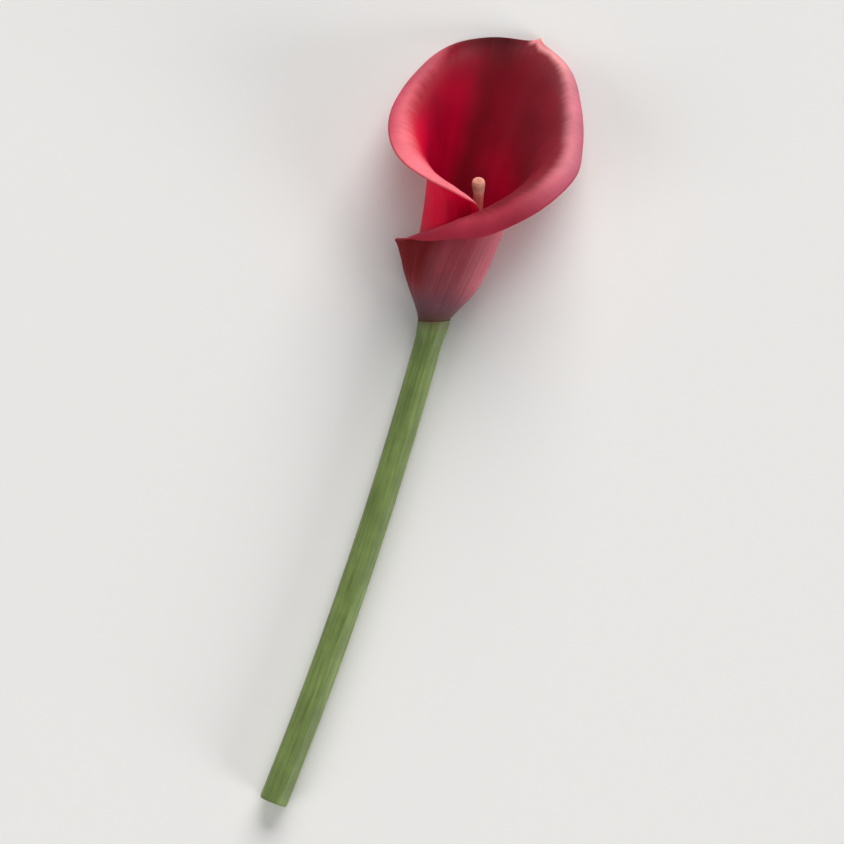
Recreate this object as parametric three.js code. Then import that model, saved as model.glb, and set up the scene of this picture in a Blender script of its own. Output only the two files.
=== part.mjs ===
// Arum lily flower, as picked: a rolled spathe, the spadix inside it and a length of cut stem,
// lying on a table. Lengths are millimetres and angles are degrees. +Z is up, the stem points
// to -Y and the mouth of the bloom opens to +Y and upward.

import * as THREE from 'three';

// how the bloom lies
const bloomLean = 15;        // axis of the bloom from +Y towards +X
const bloomRise = 13;        // axis of the bloom above the table
const baseHeight = 7.9;      // centre of the spathe's base above the table
const restSoftness = 0.3;    // how gently the rim and the tube flatten where they rest
const seatSlant = 0.3;       // rise of the bloom's seat on the stem per millimetre to the right

// spathe
const ringRadius = 3.55;     // where the inner edge starts on top of the stem
const overlapStep = 1.8;     // how much further out the second turn starts
const overlapFrom = -75;     // azimuths between which the step is gained
const overlapTo = 128;
const tubeSwell = 8;         // how much the tube fills out above the stem
const tubeSwellHeight = 11;
const tailLength = 5;        // pointed tail at the top of the blade
const tailWidth = 7;
const tailAzimuth = 19;
const tubeWall = 1.0;
const rimWall = 0.8;
const baseWall = 0.85;
const spatheColumns = 84;
const spatheRows = 21;

// meridians of the spathe from its inner edge, round the back, to its outer edge. Each one is
// azimuth at the margin (0 at the back, + to the right), azimuth at the foot, height and radius
// of the margin, roll of the lip, reach of the lip
const meridians = [
  [-219, -231, 34, 12.4, 12, 5],
  [-209, -217, 42, 13.7, 24, 7],
  [-194, -197, 47.6, 17.2, 54, 10],
  [-170, -171, 50.8, 22.8, 92, 12],
  [-142, -142, 53.3, 27.5, 118, 17],
  [-112, -112, 58, 31.8, 133, 26],
  [-84, -84, 68.5, 35, 132, 30],
  [-58, -58, 81.5, 35.4, 132, 28.5],
  [-34, -34, 93.4, 36.5, 126, 25],
  [-8, -8, 100.8, 31.6, 112, 17.5],
  [19, 19, 101.4, 31.8, 107, 17],
  [37, 37, 97, 38.5, 122, 25],
  [61, 61, 86, 36.2, 133, 26],
  [86, 86, 73.5, 36, 136, 27],
  [108, 108, 63.8, 36.8, 137, 29],
  [130, 130, 51, 32.8, 148, 31],
  [155, 155, 39.5, 26, 160, 31],
  [182, 183, 34.3, 21.8, 160, 25],
  [208, 212, 30.9, 20.6, 160, 17],
  [230, 240, 28.9, 20.8, 140, 11],
  [248, 268, 27, 21.2, 90, 7],
  [262, 295, 25.2, 21.4, 50, 6],
];

// spadix
const spadixRadius = 2.5;
const spadixFootRadius = 2.45;
const spadixLength = 54.6;
const spadixSway = 5.2;      // bulge of its bend to the right
const spadixTipShift = 2.2;  // how far right of the axis its tip ends
const floretRows = 35;
const floretsAround = 11;
const floretRelief = 0.42;
const floretSeed = 7;

// stem
const stemLength = 185;
const stemTopRadius = 5.5;
const stemNeckRadius = 4.75;
const stemNeckLength = 9;
const stemCutRadius = 5.2;
const stemTurn = 7;          // change of heading along the stem
const seatGap = 0.3;         // between the stem and what stands on it
const stemSides = 24;
const stemSteps = 34;

const rad = THREE.MathUtils.degToRad;
const smooth = (x) => THREE.MathUtils.smoothstep(x, 0, 1);

// frame of the bloom: axis up through it, its right side, its back towards the table
const axis = new THREE.Vector3(
  Math.sin(rad(bloomLean)) * Math.cos(rad(bloomRise)),
  Math.cos(rad(bloomLean)) * Math.cos(rad(bloomRise)),
  Math.sin(rad(bloomRise)),
);
const right = new THREE.Vector3(Math.cos(rad(bloomLean)), -Math.sin(rad(bloomLean)), 0);
const back = new THREE.Vector3().crossVectors(axis, right);

function inBloom(toRight, toBack, up) {
  return new THREE.Vector3(0, 0, baseHeight)
    .addScaledVector(right, toRight)
    .addScaledVector(back, toBack)
    .addScaledVector(axis, up);
}

// Catmull-Rom through the meridians, u counted in meridians
function meridianAt(u) {
  const last = meridians.length - 1;
  const i = Math.min(Math.floor(u), last - 1);
  const t = u - i;
  const row = (k) => meridians[Math.max(0, Math.min(last, k))];
  return meridians[0].map((unused, k) => {
    const a = row(i)[k];
    const b = row(i + 1)[k];
    const before = i === 0 ? 2 * a - b : row(i - 1)[k];
    const after = i + 2 > last ? 2 * b - a : row(i + 2)[k];
    const m1 = (b - before) / 2;
    const m2 = (after - a) / 2;
    const t2 = t * t;
    const t3 = t2 * t;
    return (2 * t3 - 3 * t2 + 1) * a + (t3 - 2 * t2 + t) * m1
      + (3 * t2 - 2 * t3) * b + (t3 - t2) * m2;
  });
}

function swellAt(height) {
  return tubeSwell * (1 - Math.exp(-((Math.max(height, 0) / tubeSwellHeight) ** 1.5)));
}

// middle of the spathe's wall: u runs along the margin, t from the stem up to the margin
function spatheMiddle(u, t) {
  const [atMargin, atFoot, height, radius, roll, reach] = meridianAt(u);
  const azimuth = THREE.MathUtils.lerp(atFoot, atMargin, t);
  const step = smooth((atFoot - overlapFrom) / (overlapTo - overlapFrom));
  const ring = ringRadius + overlapStep * step;
  const tail = tailLength * Math.exp(-Math.abs(atMargin - tailAzimuth) / tailWidth);
  const outward = Math.sin(rad(roll));
  const upward = Math.cos(rad(roll));
  const rim = radius - swellAt(height);
  const seat = seatSlant * ring * Math.sin(rad(atFoot));
  const free = smooth((atFoot - 225) / 70);
  const rise = Math.min(height * 0.42, 40) * (1 - 0.85 * free);
  const weights = [(1 - t) ** 3, 3 * (1 - t) ** 2 * t, 3 * (1 - t) * t * t, t ** 3];
  const rho = weights[0] * ring + weights[1] * (ring + 0.03 * rise)
    + weights[2] * (rim - reach * outward) + weights[3] * (rim + 0.35 * tail * outward);
  const up = weights[0] * seat + weights[1] * (seat + rise)
    + weights[2] * (height - reach * upward)
    + weights[3] * (height + tail * (0.55 + 0.35 * upward));
  const full = rho + swellAt(up - seat * (1 - t));
  const p = inBloom(full * Math.sin(rad(azimuth)), full * Math.cos(rad(azimuth)), up);
  const rest = 0.5 * rimWall;
  const above = p.z - rest;
  p.z = rest + 0.5 * (above + Math.hypot(above, restSoftness));
  return p;
}

function wallAt(t) {
  const foot = THREE.MathUtils.lerp(baseWall, tubeWall, smooth(t / 0.25));
  return THREE.MathUtils.lerp(foot, rimWall, smooth((t - 0.45) / 0.45));
}

function makeSpathe() {
  const geometry = new THREE.BoxGeometry(1, 1, 1, spatheColumns, spatheRows, 1);
  const position = geometry.attributes.position;
  const last = meridians.length - 1;
  const small = 1e-3;
  for (let n = 0; n < position.count; n += 1) {
    const u = (position.getX(n) + 0.5) * last;
    const t = position.getY(n) + 0.5;
    const side = position.getZ(n);
    const p = spatheMiddle(u, t);
    const u0 = Math.max(0, u - small);
    const u1 = Math.min(last, u + small);
    const t0 = Math.max(0, t - small);
    const t1 = Math.min(1, t + small);
    const along = spatheMiddle(u1, t).sub(spatheMiddle(u0, t));
    const rising = spatheMiddle(u, t1).sub(spatheMiddle(u, t0));
    const facing = new THREE.Vector3().crossVectors(along, rising).normalize();
    p.addScaledVector(facing, side * wallAt(t));
    position.setXYZ(n, p.x, p.y, p.z);
  }
  return geometry;
}

// small repeatable random numbers
function makeRandom(seed) {
  let state = seed;
  return () => {
    state = (state * 1103515245 + 12345) % 2147483648;
    return state / 2147483648;
  };
}

function spadixCentre(up) {
  const s = Math.max(0, up) / spadixLength;
  const sway = spadixSway * Math.sin(Math.PI * Math.min(1, s) ** 1.25);
  return inBloom(sway + spadixTipShift * s ** 3, 0, up);
}

// rows of florets stand as a staggered field of blunt points wound round the core
function makeSpadix() {
  const random = makeRandom(floretSeed);
  const around = 2 * floretsAround;
  const rows = 2 * floretRows;
  const domeStart = 0.93;
  const points = [];
  for (let j = 0; j <= rows; j += 1) {
    const s = j / rows;
    const up = s * (spadixLength - 0.5);
    const centre = spadixCentre(up);
    const ahead = spadixCentre(up + 0.1).sub(centre).normalize();
    const sideways = new THREE.Vector3().crossVectors(back, ahead).normalize();
    const inward = new THREE.Vector3().crossVectors(ahead, sideways);
    const dome = s < domeStart ? 1 : Math.sqrt(1 - (0.93 * (s - domeStart) / (1 - domeStart)) ** 2);
    const core = THREE.MathUtils.lerp(spadixFootRadius, spadixRadius, smooth(s / 0.2)) * dome;
    const relief = floretRelief * smooth(j / 3) * dome * smooth((rows - j) / 2);
    for (let i = 0; i < around; i += 1) {
      const angle = (2 * Math.PI * (i + 0.24 * j)) / around;
      const stands = (i + j) % 2 === 0;
      const r = core - 0.5 * relief + (stands ? relief * (0.85 + 0.3 * random()) : 0);
      const slant = seatSlant * r * Math.cos(angle) * (1 - smooth(s / 0.12));
      points.push(centre.clone()
        .addScaledVector(sideways, r * Math.cos(angle))
        .addScaledVector(inward, r * Math.sin(angle))
        .addScaledVector(axis, slant));
    }
  }
  const faces = [];
  for (let j = 0; j < rows; j += 1) {
    for (let i = 0; i < around; i += 1) {
      const a = j * around + i;
      const b = j * around + ((i + 1) % around);
      const c = a + around;
      const d = b + around;
      if ((i + j) % 2 === 0) {
        faces.push(a, b, c, b, d, c);
      } else {
        faces.push(a, b, d, a, d, c);
      }
    }
  }
  const foot = points.length;
  points.push(spadixCentre(0));
  const tip = points.length;
  points.push(spadixCentre(spadixLength));
  const top = rows * around;
  for (let i = 0; i < around; i += 1) {
    const next = (i + 1) % around;
    faces.push(foot, next, i, tip, top + i, top + next);
  }
  const geometry = new THREE.BufferGeometry().setFromPoints(points);
  geometry.setIndex(faces);
  return geometry;
}

function stemRadiusAt(s) {
  const below = s * stemLength;
  const neck = smooth(1 - below / stemNeckLength);
  const shaft = THREE.MathUtils.lerp(stemNeckRadius, stemCutRadius, s);
  return THREE.MathUtils.lerp(shaft, stemTopRadius, neck);
}

// the stem leaves the bloom along its axis and settles on the table
function stemCentres() {
  const lift = baseHeight - stemTopRadius;
  const settle = (2 * lift) / Math.tan(rad(bloomRise));
  const step = stemLength / stemSteps;
  const start = inBloom(0, 0, -seatGap);
  const centres = [];
  let x = start.x;
  let y = start.y;
  for (let k = 0; k <= stemSteps; k += 1) {
    const s = k / stemSteps;
    const heading = rad(bloomLean + stemTurn * s);
    const left = Math.max(0, 1 - (s * stemLength) / settle);
    const shaft = k === 0 ? start.z - lift : stemRadiusAt(s);
    centres.push(new THREE.Vector3(x, y, shaft + lift * left * left));
    x -= step * Math.sin(heading);
    y -= step * Math.cos(heading);
  }
  return centres;
}

function makeStem() {
  const geometry = new THREE.CylinderGeometry(1, 1, 1, stemSides, stemSteps);
  const position = geometry.attributes.position;
  const centres = stemCentres();
  for (let n = 0; n < position.count; n += 1) {
    const s = 0.5 - position.getY(n);
    const k = Math.round(s * stemSteps);
    const before = centres[Math.max(0, k - 1)];
    const after = centres[Math.min(stemSteps, k + 1)];
    const ahead = k === 0 ? axis.clone() : before.clone().sub(after).normalize();
    const sideways = new THREE.Vector3(ahead.y, -ahead.x, 0).normalize();
    const upward = new THREE.Vector3().crossVectors(sideways, ahead);
    const r = stemRadiusAt(s);
    const p = centres[k].clone()
      .addScaledVector(sideways, r * position.getX(n))
      .addScaledVector(upward, r * position.getZ(n));
    if (k === 0) {
      p.addScaledVector(axis, seatSlant * r * position.getX(n));
    }
    position.setXYZ(n, p.x, p.y, p.z);
  }
  return geometry;
}

function makeNode(name, geometry, colour, roughness) {
  geometry.computeVertexNormals();
  const material = new THREE.MeshStandardMaterial({ color: colour, roughness, metalness: 0 });
  const mesh = new THREE.Mesh(geometry, material);
  mesh.name = name;
  return mesh;
}

const part = new THREE.Group();
part.name = 'arum_lily_flower';
part.add(makeNode('stem', makeStem(), 0x72854f, 0.5));
part.add(makeNode('spathe', makeSpathe(), 0x9c1030, 0.45));
part.add(makeNode('spadix', makeSpadix(), 0xdd8f6a, 0.6));

// the middle of the footprint goes to the origin and the lowest point onto the table
const bounds = new THREE.Box3().setFromObject(part);
for (const mesh of part.children) {
  mesh.geometry.translate(
    -(bounds.min.x + bounds.max.x) / 2,
    -(bounds.min.y + bounds.max.y) / 2,
    -bounds.min.z,
  );
}

export default part;
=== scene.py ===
# Arum lily flower as picked, lying on a pale table: rolled spathe, spadix and a length of cut stem.
# Sizes in the dictionaries are millimetres and degrees. The scene is in metres, +Z up, bloom to +Y.
import math

import bpy
import numpy as np
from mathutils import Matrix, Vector


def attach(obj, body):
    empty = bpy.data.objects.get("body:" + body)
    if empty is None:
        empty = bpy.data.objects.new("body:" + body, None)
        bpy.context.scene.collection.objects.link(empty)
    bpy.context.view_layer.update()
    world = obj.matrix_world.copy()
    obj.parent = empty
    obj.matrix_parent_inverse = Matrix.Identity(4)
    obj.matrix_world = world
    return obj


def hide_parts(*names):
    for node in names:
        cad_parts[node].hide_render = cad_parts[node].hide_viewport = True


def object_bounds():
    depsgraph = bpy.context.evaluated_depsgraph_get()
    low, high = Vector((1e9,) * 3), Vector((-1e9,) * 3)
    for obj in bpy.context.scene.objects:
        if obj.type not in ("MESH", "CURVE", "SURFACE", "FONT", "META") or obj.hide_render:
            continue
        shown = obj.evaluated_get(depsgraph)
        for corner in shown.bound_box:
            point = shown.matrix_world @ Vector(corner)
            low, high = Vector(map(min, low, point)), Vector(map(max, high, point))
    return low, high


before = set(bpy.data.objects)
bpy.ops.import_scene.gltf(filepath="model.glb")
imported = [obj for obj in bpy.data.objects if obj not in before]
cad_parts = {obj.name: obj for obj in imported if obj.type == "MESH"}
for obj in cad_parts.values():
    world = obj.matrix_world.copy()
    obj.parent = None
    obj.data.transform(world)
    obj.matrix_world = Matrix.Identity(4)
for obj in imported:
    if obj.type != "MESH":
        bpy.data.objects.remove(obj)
cadLow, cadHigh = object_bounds()
mm = 0.001
goldenTurn = math.radians(137.508)  # from one member of a sunflower spiral to the next

# how the bloom lies: its axis leans towards +X and rises from the table
bloom = {
    "foot": (4.48, 37.242, 7.9),  # centre of the spathe's base
    "lean": 15.0,
    "rise": 13.0,
    "seatSlant": 0.3,  # rise of its seat per millimetre to the right
}

leanAngle = math.radians(bloom["lean"])
riseAngle = math.radians(bloom["rise"])
foot = np.array(bloom["foot"])
axis = np.array([
    math.sin(leanAngle) * math.cos(riseAngle),
    math.cos(leanAngle) * math.cos(riseAngle),
    math.sin(riseAngle),
])
right = np.array([math.cos(leanAngle), -math.sin(leanAngle), 0.0])
back = np.cross(axis, right)  # towards the table


def inBloom(toRight, toBack, up):
    flat = np.multiply.outer(toRight, right) + np.multiply.outer(toBack, back)
    return foot + (flat + np.multiply.outer(up, axis))


def eased(value, start, end):
    # 0 at the start, 1 at the end, and soft in between; the end may be the lower one
    share = np.clip((value - start) / (end - start), 0.0, 1.0)
    return share * share * (3.0 - 2.0 * share)


def mix(a, b, share):
    return a + (b - a) * share


def addValues(mesh, name, values):
    made = mesh.attributes.new(name, "FLOAT", "POINT")
    made.data.foreach_set("value", np.asarray(values, np.float32).ravel())


def addObject(name, data):
    made = bpy.data.objects.new(name, data)
    bpy.context.scene.collection.objects.link(made)
    return made


# small helpers for node trees

def fill(tree, sockets, values):
    # each socket gets a constant or another node's output
    for socket, value in values.items():
        if isinstance(value, bpy.types.NodeSocket):
            tree.links.new(value, sockets[socket])
        else:
            sockets[socket].default_value = value


def addNode(tree, kind, inputs=None, **settings):
    made = tree.nodes.new(kind)
    for setting, value in settings.items():
        setattr(made, setting, value)
    fill(tree, made.inputs, inputs or {})
    return made


def calc(tree, operation, *values, clamp=False):
    inputs = dict(enumerate(values))
    return addNode(tree, "ShaderNodeMath", inputs, operation=operation, use_clamp=clamp).outputs[0]


def times(tree, value, *factors):
    for factor in factors:
        value = calc(tree, "MULTIPLY", value, factor)
    return value


def squared(tree, value):
    return calc(tree, "POWER", value, 2.0)


def vectorCalc(tree, operation, *values):
    made = addNode(tree, "ShaderNodeVectorMath", dict(enumerate(values)), operation=operation)
    return made.outputs["Value" if operation == "DOT_PRODUCT" else 0]


def summed(tree, vector, *others):
    for other in others:
        vector = vectorCalc(tree, "ADD", vector, other)
    return vector


def scaled(tree, vector, amount):
    made = addNode(tree, "ShaderNodeVectorMath", {0: vector, "Scale": amount}, operation="SCALE")
    return made.outputs[0]


def separated(tree, vector):
    return addNode(tree, "ShaderNodeSeparateXYZ", {0: vector}).outputs


def combined(tree, *values):
    return addNode(tree, "ShaderNodeCombineXYZ", dict(enumerate(values))).outputs[0]


def fromMiddle(tree, parts):
    # distance from the middle line of a bar, from its separated coordinates
    return calc(tree, "SQRT", calc(tree, "ADD", squared(tree, parts[0]), squared(tree, parts[1])))


def ranged(tree, value, low, high, toLow=0.0, toHigh=1.0, soft=True):
    inputs = {"Value": value, "From Min": low, "From Max": high, "To Min": toLow, "To Max": toHigh}
    kind = "SMOOTHSTEP" if soft else "LINEAR"
    return addNode(tree, "ShaderNodeMapRange", inputs, interpolation_type=kind).outputs[0]


def addGroup(name, kind, inputs, outputs):
    tree = bpy.data.node_groups.new(name, kind)
    for label, holds, *value in inputs:
        socket = tree.interface.new_socket(label, in_out="INPUT", socket_type="NodeSocket" + holds)
        if value:
            socket.default_value = value[0]
    for label, holds in outputs:
        tree.interface.new_socket(label, in_out="OUTPUT", socket_type="NodeSocket" + holds)
    return tree, tree.nodes.new("NodeGroupInput").outputs, tree.nodes.new("NodeGroupOutput").inputs


def useGroup(tree, group, inputs):
    kind = tree.bl_idname.replace("Tree", "Group")  # shader or geometry, as the tree itself
    return addNode(tree, kind, inputs, node_tree=group).outputs


# shader groups that more than one finish uses

def makeStreaks():
    # fine streaks that run along a surface, from coordinates (across, across, along)
    tree, given, result = addGroup("fibreStreaks", "ShaderNodeTree", [
        ("Place", "Vector"),
        ("Across", "Float", 60.0),
        ("Along", "Float", 1.0),
        ("Sharpness", "Float", 0.5),
    ], [("Streak", "Float"), ("Height", "Float")])
    parts = separated(tree, given["Place"])
    across = [times(tree, part, given["Across"]) for part in (parts[0], parts[1])]
    stretched = combined(tree, *across, times(tree, parts[2], given["Along"]))
    noise = addNode(tree, "ShaderNodeTexNoise", {
        "Vector": stretched, "Scale": 1.0, "Detail": 2.0, "Roughness": 0.55,
    }).outputs[0]
    # nearly all of the noise lies between 0.27 and 0.73
    narrower = times(tree, given["Sharpness"], 0.25)
    low = calc(tree, "ADD", 0.27, narrower)
    high = calc(tree, "SUBTRACT", 0.73, narrower)
    fill(tree, result, {"Streak": ranged(tree, noise, low, high), "Height": noise})
    return tree


def makeMottle():
    # slow brightness changes and fine cell grain over fresh tissue
    tree, given, result = addGroup("tissueMottle", "ShaderNodeTree", [
        ("Color", "Color", (0.5, 0.5, 0.5, 1.0)),
        ("Patch Size", "Float", 9.0),
        ("Cell Size", "Float", 0.25),
        ("Amount", "Float", 0.2),
    ], [("Color", "Color"), ("Grain", "Float")])
    place = addNode(tree, "ShaderNodeTexCoord").outputs["Object"]
    perPatch = calc(tree, "DIVIDE", 1.0 / mm, given["Patch Size"])
    perCell = calc(tree, "DIVIDE", 1.0 / mm, given["Cell Size"])
    patches = addNode(tree, "ShaderNodeTexNoise", {"Vector": place, "Scale": perPatch, "Detail": 3.0})
    cells = addNode(tree, "ShaderNodeTexVoronoi", {"Vector": place, "Scale": perCell})
    low = calc(tree, "SUBTRACT", 1.0, given["Amount"])
    high = calc(tree, "ADD", 1.0, given["Amount"])
    shade = ranged(tree, patches.outputs[0], 0.3, 0.7, low, high)
    fill(tree, result, {
        "Color": scaled(tree, given["Color"], shade), "Grain": cells.outputs["Distance"],
    })
    return tree


streaksGroup = makeStreaks()
mottleGroup = makeMottle()


def rgb(red, green, blue):
    # a colour given as 0 to 255, as the shader takes it
    return tuple(
        (c / 255 / 12.92 if c <= 10 else ((c / 255 + 0.055) / 1.055) ** 2.4)
        for c in (red, green, blue)
    ) + (1.0,)


def newMaterial(name):
    material = bpy.data.materials.new(name)
    material.use_nodes = True
    tree = material.node_tree
    tree.nodes.clear()
    shader = addNode(tree, "ShaderNodeBsdfPrincipled")
    addNode(tree, "ShaderNodeOutputMaterial", {"Surface": shader.outputs[0]})
    return material, tree, shader.inputs


def painted(tree, share, under, over):
    return addNode(tree, "ShaderNodeMix", {0: share, 6: under, 7: over}, data_type="RGBA").outputs[2]


def ramp(tree, value, stops):
    made = addNode(tree, "ShaderNodeValToRGB", {0: value})
    bands = made.color_ramp.elements
    while len(bands) < len(stops):
        bands.new(0.5)
    for band, (place, colour) in zip(bands, stops):
        band.position = place
        band.color = colour
    return made.outputs[0]


def fromMesh(tree, name):
    return addNode(tree, "ShaderNodeAttribute", attribute_name=name).outputs


def bumped(tree, height, depth):
    inputs = {"Height": height, "Distance": depth * mm, "Strength": 1.0}
    return addNode(tree, "ShaderNodeBump", inputs).outputs[0]


# the spathe: one sheet rolled round the spadix, its right edge wrapped over its left

spathe = {
    # meridians from the inner edge, round the back, to the outer edge: azimuth at the margin (0 at
    # the back, + to the right), azimuth at the foot, height and radius of the margin, roll and reach
    # of the lip
    "meridians": [
        (-219, -231, 34, 12.4, 20, 5),
        (-209, -217, 42, 13.7, 62, 8),
        (-194, -197, 47.6, 17.2, 98, 12),
        (-170, -171, 50.8, 22.8, 118, 15),
        (-142, -142, 53.3, 27.5, 127, 19),
        (-112, -112, 58, 31.8, 133, 26),
        (-84, -84, 68.5, 35, 132, 30),
        (-58, -58, 81.5, 35.4, 132, 28.5),
        (-34, -34, 93.4, 36.5, 126, 25),
        (-8, -8, 100.8, 31.6, 112, 17.5),
        (19, 19, 101.4, 31.8, 107, 17),
        (37, 37, 97, 38.5, 122, 25),
        (61, 61, 86, 36.2, 133, 26),
        (86, 86, 73.5, 36, 136, 27),
        (108, 108, 63.8, 36.8, 137, 29),
        (130, 130, 51, 32.8, 148, 31),
        (155, 155, 39.5, 26, 160, 31),
        (182, 183, 34.3, 21.8, 160, 25),
        (208, 212, 30.9, 20.6, 160, 17),
        (230, 240, 28.9, 20.8, 140, 11),
        (248, 268, 27, 21.2, 90, 7),
        (262, 295, 25.2, 21.4, 50, 6),
    ],
    "columns": 440,
    "rows": 104,
    "rowCrowding": 1.25,  # above 1 the rows lie closer towards the margin
    "tailCrowding": (3.5, 0.3),  # how much closer the columns lie there, over how many meridians
    "innerCrowding": (7, 0.1),
    "outerCrowding": (7, 0.06),
    "ringRadius": 3.55,  # where the inner edge starts on top of the stem
    "overlapStep": 1.8,  # how much further out the second turn starts
    "overlap": (-75, 128),  # azimuths between which it moves out
    "collar": (-62, -2),  # azimuths between which the foot widens to the stem's own radius
    "collarHeight": 3,
    "tubeSwell": 8,
    "tubeSwellHeight": 11,
    "riseShare": 0.42,  # how far the tube stands up before it flares, as a share of its height
    "riseLimit": 40,
    "riseFlare": 0.03,
    "freeTurn": (225, 295),  # azimuths over which that shortens towards the outer free edge
    "freeShortening": 0.85,
    "tailAzimuth": 19,
    "tailLength": 5,
    "tailWidth": 7,
    "tailSoftness": 16,  # how fast the crease below the tail fades
    "tipLength": 2.2,  # thin dry point at the end of the tail
    "tipWidth": 1.5,
    "tailOut": 0.35,  # shares of its length that point outwards, upwards and along the roll
    "tailUp": 0.55,
    "tailRoll": 0.35,
    "rimWaves": [(0.3, 1.9, 0.4), (0.18, 3.7, 1)],  # size, pace and start of each
    "rimWaveOut": 0.4,
    "rimWaveUp": 0.5,
    "restGap": 0.02,
    "restSoftness": 0.3,  # how softly it flattens on the table
    "restWall": 1.8,  # what stays of its thickness there, in half thicknesses
    "restHeight": 0.8,
    "footWall": 0.85,
    "tubeWall": 1,
    "rimWall": 0.56,
    "tubeWallRise": (0, 0.25),  # shares of the height over which the wall changes
    "rimWallRise": (0.45, 0.9),
    "edgeRound": 0.5,
    "footSharpness": 4,
    "veinTurn": 7.5,  # degrees between the main veins
    "veinWander": 0.25,
    "veinHeight": 0.04,
    "veinWidth": 0.2,  # as a share of the turn between two
    "veinInside": 0.5,  # height on the inner face, as a share of the outer one
    "veinPull": 0.35,  # how much the veins close in on the tail
    "veinCalm": 3,  # how far from the border they fade
    "folds": [(0.04, 15, 0, 40), (0.028, 9.3, 200, -60)],  # depth, pace, start and lean
    "foldCalm": 12,
    "midribDepth": 0.03,
    "midribWidth": 2.2,
    "coneRadius": 4,  # the funnel's rough radius at its foot, and its growth per millimetre
    "coneGrowth": 0.4,
    "innerFrom": 14,  # height up to which the border takes on the inner face's colours

    # where the colours of the inner face change: azimuths, unless a line says otherwise
    "zones": {
        "band": (-20, -3),  # middle of the painted shade band at the foot and at the margin
        "bandWidth": (19, 31),  # to its left and right
        "dusky": (-10, 52),  # the right side takes a painted sheen, a dull greyish veil of reflected light
        "sheenRightRise": (0.3, 0.58),  # shares of the height over which that comes in
        "high": (-100, -42),  # the left lip's painted highlight dulls towards the top
        "flap": (98, 144),
        "hidden": ((-54, -22), (11, 19)),  # here the rim folds out of sight at the top
        "topShade": (19.5, 4.5),  # distances from the folded rim over which painted shade comes in
        "lipLeft": 11,  # its width in millimetres
        "lipRight": 10,
        "lipFree": 6.5,  # along the free left edge
        "lipAtTip": 6.2,
        "lipHidden": 0.35,  # share of the left width that stays where it folds out of sight
        "lipNarrow": (14, 44),  # here the right lip widens from the tip's width to its full one
        "lipChange": (0, 10),  # here the left width gives way to the right one
        "lipFreeTo": (-170, -120),
        "lipSoft": (0.95, 0.7),  # how gradually it fades on the left and right, as a share of its width
        "lipEnd": 1.2,  # where it has faded, as a share of its width
        "turned": ((-122, -92), (225, 250)),  # here the lip turns right over
        "edgeWidth": 6.5,
        "flapEdgeWidth": 9,
        "dark": ((-50, -6), (-4, 18)),  # here the painted shade under the folded-back rim is darkest
        "foldWidth": 15,
        "upper": ((-110, -60), (5, 65)),  # here painted shade darkens the face more above than below
        "upperReach": (34, 10),  # distances from the margin over which that comes in
    },

    # colours, and how strongly some of them cover what lies under them
    "look": {
        # painted shade: darker towards the foot, where the funnel lies in shade
        "shadedThroat": rgb(152, 0, 25),
        "inside": rgb(186, 0, 45),
        # painted shade: a darker band up the middle and below the folded-back rim
        "deep": rgb(116, 0, 20),
        "shadeBandCover": 0.85,
        # painted sheen: a dull greyish veil of reflected light on the right side
        "dusky": rgb(124, 28, 41),
        # painted shade under the folded-back rim, and how much of the face it covers
        "fold": rgb(54, 0, 6),
        "foldShadeCover": 0.95,
        # painted shade: how much darker the face is higher up
        "upperShadeDepth": 0.42,
        "midrib": rgb(120, 6, 26),
        # painted highlight: the pale pink lip stands in for the lamps' sheen on the rolled rim; duller at
        # the top left, paler near the tail, darker on the flap
        "lipLeft": rgb(222, 113, 124),
        "lipHigh": rgb(182, 84, 98),
        "lipRight": rgb(200, 120, 132),
        "lipTail": rgb(236, 168, 164),
        # painted shade on the lip's edge where it turns right over, also along the flap
        "lipEdge": rgb(178, 56, 84),
        "lipEdgeShadeRight": rgb(166, 82, 106),
        "lipEdgeShadeCover": 0.75,
        "lipFray": 0.12,
        "flap": rgb(178, 60, 78),
        "flapEdge": rgb(140, 24, 52),
        "outsideFoot": rgb(94, 72, 58),
        "outsideLow": rgb(112, 76, 86),
        "outsideTube": rgb(164, 76, 84),
        "outsideStops": (0, 7, 23.8),  # their heights above the foot
        # painted shade on the tube's left side
        "outsideLeftShade": rgb(124, 8, 16),
        # painted sheen on the tube's right side
        "outsideRightSheen": rgb(198, 106, 118),
        # crimson above, partly its own colour and partly a painted glow of light through the sheet
        "outsideCrimsonGlow": rgb(236, 0, 62),
        "outsideWrap": rgb(160, 62, 78),
        "vein": rgb(96, 22, 34),
        "streak": rgb(110, 0, 24),
        "streakCover": 0.07,
        "edge": rgb(150, 44, 56),
        "tip": rgb(214, 172, 150),
        "roughness": 0.49,
        "streakRoughness": 0.1,
        "foldRoughness": 0.3,
        "gloss": 0.11,
        "relief": 0.035,
    },

    # where a colour comes in, and its least and greatest share: distances from the foot, midrib, tail
    # or rim; tens of degrees for wrap, left, right, front and veins; a share for the lip
    "fades": {
        "shadedThroat": (24, 60),
        "midrib": (7, 0, 0, 0.1),
        "lipTail": (26, 8, 0, 0.65),
        "tip": (3.4, 0.6),
        "edge": (1.1, 0.2),
        "edgeRise": (3, 18, 0, 0.6),
        "highRise": (24, 40),
        "leftRise": (6, 20),
        "rightRise": (5, 22, 0, 0.9),
        "wrap": (5, 10),
        "left": (20, 24.5),
        "right": (17, 12),
        "front": (3, 8),
        "veins": (2, 9, 0.08, 0.25),
        "lip": (0.05, 1),
    },
}

meridians = np.array(spathe["meridians"])
lastMeridian = len(meridians) - 1
tailAt = float(np.interp(spathe["tailAzimuth"], meridians[:, 0], np.arange(len(meridians))))


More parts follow.
